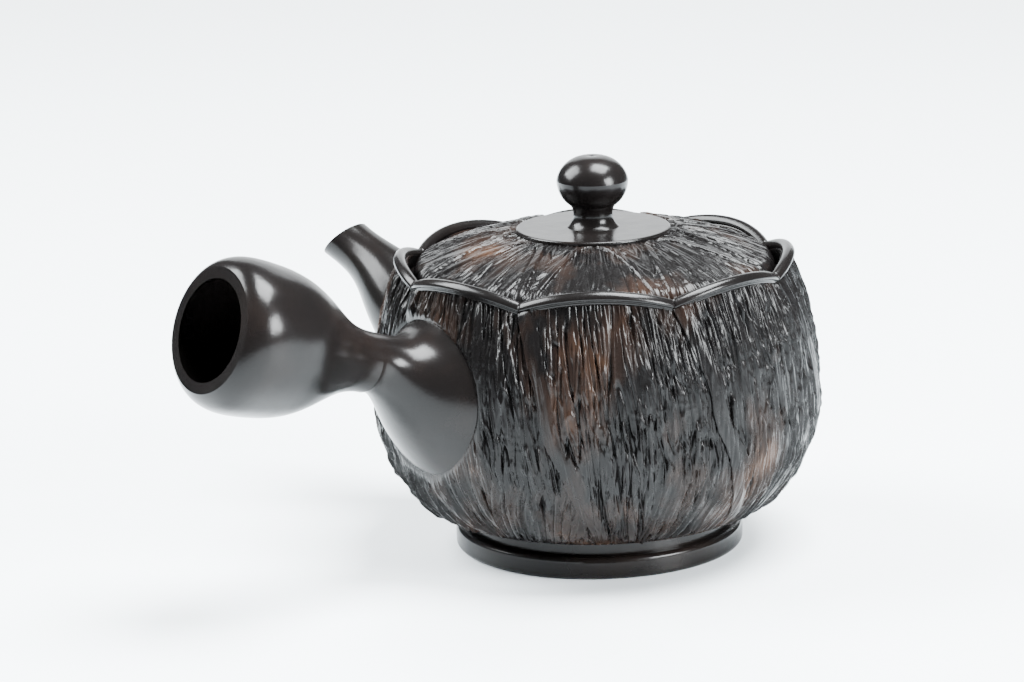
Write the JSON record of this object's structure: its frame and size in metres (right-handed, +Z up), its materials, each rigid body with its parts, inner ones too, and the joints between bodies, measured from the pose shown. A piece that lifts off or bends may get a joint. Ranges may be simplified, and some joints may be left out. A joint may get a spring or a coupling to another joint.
{
  "type": "side handled clay teapot",
  "caption": "Round clay teapot with bark-carved overlapping petals, rolled lips, hollow side handle, tapered spout, ball strainer, ringed foot and a lift-off domed lid with a knob.",
  "frame": {"origin": "centre of the foot ring, on the plane that the teapot rests on", "axes": "+Z up along the pot's axis, -Y out along the side handle, the spout points 78 degrees round from the handle, close to -X"},
  "size_m": [0.1426, 0.1724, 0.0979],
  "materials": {
    "burnished_clay": "unglazed black-brown clay, burnished to a soft satin shine",
    "carved_clay": "unglazed dark clay with carved bark strokes, mottled reddish brown on the ridges"
  },
  "bodies": {
    "pot": {"bowl": "burnished_clay", "foot_ring": "burnished_clay", "seat_ring": "burnished_clay", "strainer": "burnished_clay", "spout": "burnished_clay", "handle": "burnished_clay", "petal_1": "carved_clay", "petal_2": "carved_clay", "petal_3": "carved_clay", "petal_4": "carved_clay", "petal_5": "carved_clay", "petal_6": "carved_clay", "petal_7": "carved_clay", "petal_8": "carved_clay", "lip_1": "burnished_clay", "lip_2": "burnished_clay", "lip_3": "burnished_clay", "lip_4": "burnished_clay", "lip_5": "burnished_clay", "lip_6": "burnished_clay", "lip_7": "burnished_clay", "lip_8": "burnished_clay"},
    "lid_flange_ring": {"lid_flange": "burnished_clay"},
    "lid": {"lid_dome": "carved_clay", "lid_disc": "burnished_clay", "knob": "burnished_clay"}
  },
  "joints": [
    {"name": "lid_lift", "type": "slide", "parent": "pot", "child": "lid_flange_ring", "axis": [0, 0, 1], "range_m": [0, 0.06]},
    {"name": "lid_turn", "type": "hinge", "parent": "lid_flange_ring", "child": "lid", "pos_m": [0, 0, 0.066], "axis": [0, 0, 1], "continuous": true}
  ]
}
